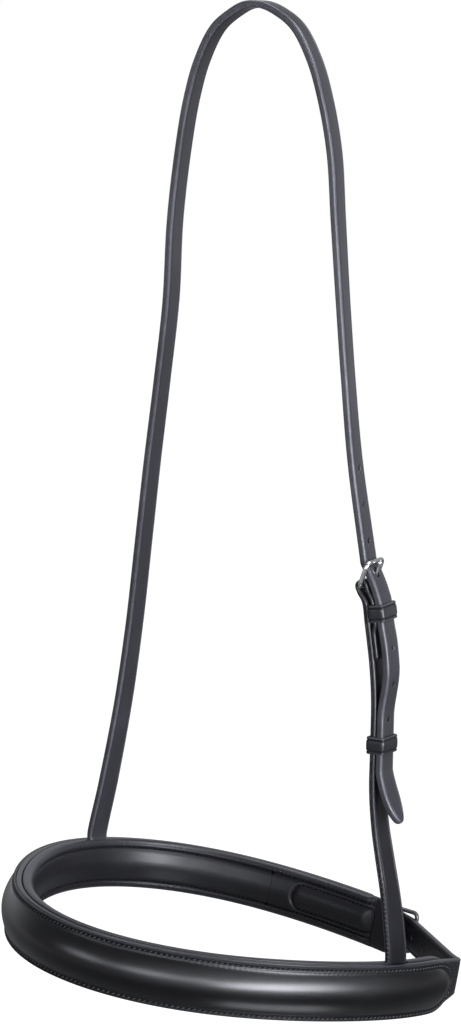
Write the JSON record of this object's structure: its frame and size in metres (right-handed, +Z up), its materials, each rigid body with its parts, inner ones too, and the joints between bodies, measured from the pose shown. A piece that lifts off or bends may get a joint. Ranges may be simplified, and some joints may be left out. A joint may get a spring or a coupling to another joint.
{
  "type": "raised padded noseband with head strap",
  "caption": "Raised padded leather noseband that closes under the chin, hung from a narrow head strap with a cheek buckle, keepers and a sliding runner.",
  "frame": {"origin": "the flat seat under the crown of the head strap, where it lies on the poll", "axes": "+Z up, +X towards the horse's left cheek, where the cheek buckle is, -Y towards the front of the nose"},
  "size_m": [0.2422, 0.2508, 0.5135],
  "materials": {
    "black_leather": "dyed black, semi-matt, finished edges",
    "glazed_leather": "dyed black, polished and glossy",
    "soft_leather": "soft black lining leather, fine grain",
    "filling": "felt and foam filling, not seen",
    "steel": "polished stainless steel"
  },
  "bodies": {
    "straps": {"head_strap": "black_leather", "cheek_strap": "black_leather", "cheek_fixed_keeper": "black_leather", "noseband_strap": "black_leather", "chin_keeper_1": "black_leather", "chin_keeper_2": "black_leather", "raised_cover": "glazed_leather", "raised_core": "filling", "nose_lining": "soft_leather", "nose_padding": "filling", "chin_pad_back": "black_leather", "chin_pad_cover": "soft_leather", "chin_pad_filling": "filling"},
    "cheek_frame": {"cheek_buckle_frame": "steel"},
    "cheek_tongue": {"cheek_buckle_tongue": "steel"},
    "cheek_runner": {"cheek_runner_keeper": "black_leather"},
    "chin_frame": {"chin_buckle_frame": "steel"},
    "chin_tongue": {"chin_buckle_tongue": "steel"}
  },
  "joints": [
    {"name": "cheek_frame_tilt", "type": "hinge", "parent": "straps", "child": "cheek_frame", "pos_m": [0.06835, 0.00661, -0.26971], "axis": [-0.2737, 0.9586, -0.0789], "range_deg": [0, 3]},
    {"name": "cheek_tongue_lift", "type": "hinge", "parent": "cheek_frame", "child": "cheek_tongue", "pos_m": [0.06835, 0.00661, -0.26971], "axis": [-0.2737, 0.9586, -0.0789], "range_deg": [0, 2]},
    {"name": "cheek_runner_slide", "type": "slide", "parent": "straps", "child": "cheek_runner", "axis": [0.0882, -0.1212, -0.9887], "range_m": [-0.006, 0.006]},
    {"name": "chin_frame_tilt", "type": "hinge", "parent": "straps", "child": "chin_frame", "pos_m": [0.00664, 0.10177, -0.4971], "axis": [-0.001, 0.2538, 0.9673], "range_deg": [0, 3]},
    {"name": "chin_tongue_lift", "type": "hinge", "parent": "chin_frame", "child": "chin_tongue", "pos_m": [0.00664, 0.10177, -0.4971], "axis": [-0.001, 0.2538, 0.9673], "range_deg": [0, 2]}
  ]
}
